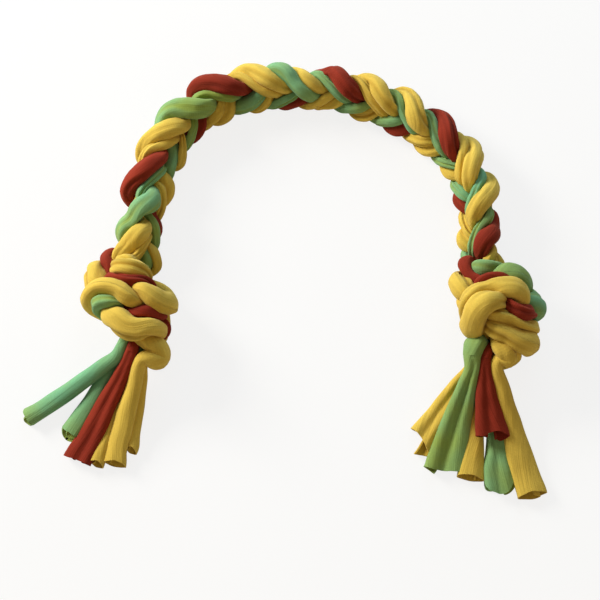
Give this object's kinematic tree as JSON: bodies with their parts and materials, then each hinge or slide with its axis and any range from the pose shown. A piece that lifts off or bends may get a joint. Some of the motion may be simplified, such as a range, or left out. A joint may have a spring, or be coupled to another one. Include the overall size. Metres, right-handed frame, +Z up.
{
  "type": "rope dog toy",
  "caption": "Tug toy for a dog, plaited from strips of jersey, with an overhand knot and a tassel of loose ends at each end, lying in an arch.",
  "frame": {"origin": "middle of the toy's bounding box in X and Y, on the surface that it lies on", "axes": "+Z up from that surface, +Y towards the top of the arch, away from the tassels, +X towards the right knot"},
  "size_m": [0.314, 0.2706, 0.046],
  "materials": {
    "yellow_jersey": "matt single jersey, curled",
    "green_jersey": "matt single jersey, curled",
    "red_jersey": "matt single jersey, curled"
  },
  "bodies": {
    "left_plait": {"yellow_strip_1_left_plait": "yellow_jersey", "yellow_strip_2_left_plait": "yellow_jersey", "green_strip_1_left_plait": "green_jersey", "yellow_strip_3_left_plait": "yellow_jersey", "red_strip_left_plait": "red_jersey", "green_strip_2_left_plait": "green_jersey"},
    "left_knot": {"yellow_strip_1_left_knot": "yellow_jersey", "yellow_strip_2_left_knot": "yellow_jersey", "green_strip_1_left_knot": "green_jersey", "yellow_strip_3_left_knot": "yellow_jersey", "red_strip_left_knot": "red_jersey", "green_strip_2_left_knot": "green_jersey"},
    "right_plait": {"yellow_strip_1_right_plait": "yellow_jersey", "yellow_strip_2_right_plait": "yellow_jersey", "green_strip_1_right_plait": "green_jersey", "yellow_strip_3_right_plait": "yellow_jersey", "red_strip_right_plait": "red_jersey", "green_strip_2_right_plait": "green_jersey"},
    "right_knot": {"yellow_strip_1_right_knot": "yellow_jersey", "yellow_strip_2_right_knot": "yellow_jersey", "green_strip_1_right_knot": "green_jersey", "yellow_strip_3_right_knot": "yellow_jersey", "red_strip_right_knot": "red_jersey", "green_strip_2_right_knot": "green_jersey"},
    "yellow_strip_1_left_tail": {"yellow_strip_1_left_tail": "yellow_jersey"},
    "yellow_strip_2_left_tail": {"yellow_strip_2_left_tail": "yellow_jersey"},
    "green_strip_1_left_tail": {"green_strip_1_left_tail": "green_jersey"},
    "yellow_strip_3_left_tail": {"yellow_strip_3_left_tail": "yellow_jersey"},
    "red_strip_left_tail": {"red_strip_left_tail": "red_jersey"},
    "green_strip_2_left_tail": {"green_strip_2_left_tail": "green_jersey"},
    "yellow_strip_1_right_tail": {"yellow_strip_1_right_tail": "yellow_jersey"},
    "yellow_strip_2_right_tail": {"yellow_strip_2_right_tail": "yellow_jersey"},
    "green_strip_1_right_tail": {"green_strip_1_right_tail": "green_jersey"},
    "yellow_strip_3_right_tail": {"yellow_strip_3_right_tail": "yellow_jersey"},
    "red_strip_right_tail": {"red_strip_right_tail": "red_jersey"},
    "green_strip_2_right_tail": {"green_strip_2_right_tail": "green_jersey"}
  },
  "joints": [
    {"name": "left_neck_bend", "type": "hinge", "parent": "left_plait", "child": "left_knot", "pos_m": [-0.0862, 0.0259, 0.0105], "axis": [0, 0, 1], "range_deg": [-25, 25]},
    {"name": "plait_bend", "type": "hinge", "parent": "left_plait", "child": "right_plait", "pos_m": [0.0161, 0.1211, 0.0105], "axis": [0, 0, 1], "range_deg": [-30, 40]},
    {"name": "right_neck_bend", "type": "hinge", "parent": "right_plait", "child": "right_knot", "pos_m": [0.1193, 0.021, 0.0105], "axis": [0, 0, -1], "range_deg": [-25, 25]},
    {"name": "yellow_strip_1_left_tail_bend", "type": "hinge", "parent": "left_knot", "child": "yellow_strip_1_left_tail", "pos_m": [-0.0842, -0.0574, 0.0204], "axis": [-0.9666, 0.2562, 0], "range_deg": [0, 40]},
    {"name": "yellow_strip_2_left_tail_bend", "type": "hinge", "parent": "left_knot", "child": "yellow_strip_2_left_tail", "pos_m": [-0.0893, -0.0514, 0.0138], "axis": [-0.9476, 0.3195, 0], "range_deg": [-30, 0]},
    {"name": "green_strip_1_left_tail_bend", "type": "hinge", "parent": "left_knot", "child": "green_strip_1_left_tail", "pos_m": [-0.0968, -0.0503, 0.0206], "axis": [-0.5403, 0.8415, 0], "range_deg": [0, 40]},
    {"name": "yellow_strip_3_left_tail_bend", "type": "hinge", "parent": "left_knot", "child": "yellow_strip_3_left_tail", "pos_m": [-0.083, -0.0548, 0.0138], "axis": [-0.9871, 0.1604, 0], "range_deg": [-30, 0]},
    {"name": "red_strip_left_tail_bend", "type": "hinge", "parent": "left_knot", "child": "red_strip_left_tail", "pos_m": [-0.0904, -0.0536, 0.0206], "axis": [-0.8855, 0.4647, 0], "range_deg": [0, 40]},
    {"name": "green_strip_2_left_tail_bend", "type": "hinge", "parent": "left_knot", "child": "green_strip_2_left_tail", "pos_m": [-0.0962, -0.0491, 0.0134], "axis": [-0.835, 0.5503, 0], "range_deg": [-30, 0]},
    {"name": "yellow_strip_1_right_tail_bend", "type": "hinge", "parent": "right_knot", "child": "yellow_strip_1_right_tail", "pos_m": [0.1268, -0.0593, 0.0208], "axis": [-0.9658, -0.2593, 0], "range_deg": [0, 40]},
    {"name": "yellow_strip_2_right_tail_bend", "type": "hinge", "parent": "right_knot", "child": "yellow_strip_2_right_tail", "pos_m": [0.1199, -0.0565, 0.0139], "axis": [-0.9901, 0.1401, 0], "range_deg": [-30, 0]},
    {"name": "green_strip_1_right_tail_bend", "type": "hinge", "parent": "right_knot", "child": "green_strip_1_right_tail", "pos_m": [0.1126, -0.0571, 0.021], "axis": [-0.9529, 0.3033, 0], "range_deg": [0, 40]},
    {"name": "yellow_strip_3_right_tail_bend", "type": "hinge", "parent": "right_knot", "child": "yellow_strip_3_right_tail", "pos_m": [0.1127, -0.056, 0.0138], "axis": [-0.8102, 0.5861, 0], "range_deg": [-30, 0]},
    {"name": "red_strip_right_tail_bend", "type": "hinge", "parent": "right_knot", "child": "red_strip_right_tail", "pos_m": [0.1197, -0.0579, 0.0209], "axis": [-0.9975, -0.0703, 0], "range_deg": [0, 40]},
    {"name": "green_strip_2_right_tail_bend", "type": "hinge", "parent": "right_knot", "child": "green_strip_2_right_tail", "pos_m": [0.127, -0.0572, 0.0139], "axis": [-0.9999, -0.0111, 0], "range_deg": [-30, 0]}
  ]
}
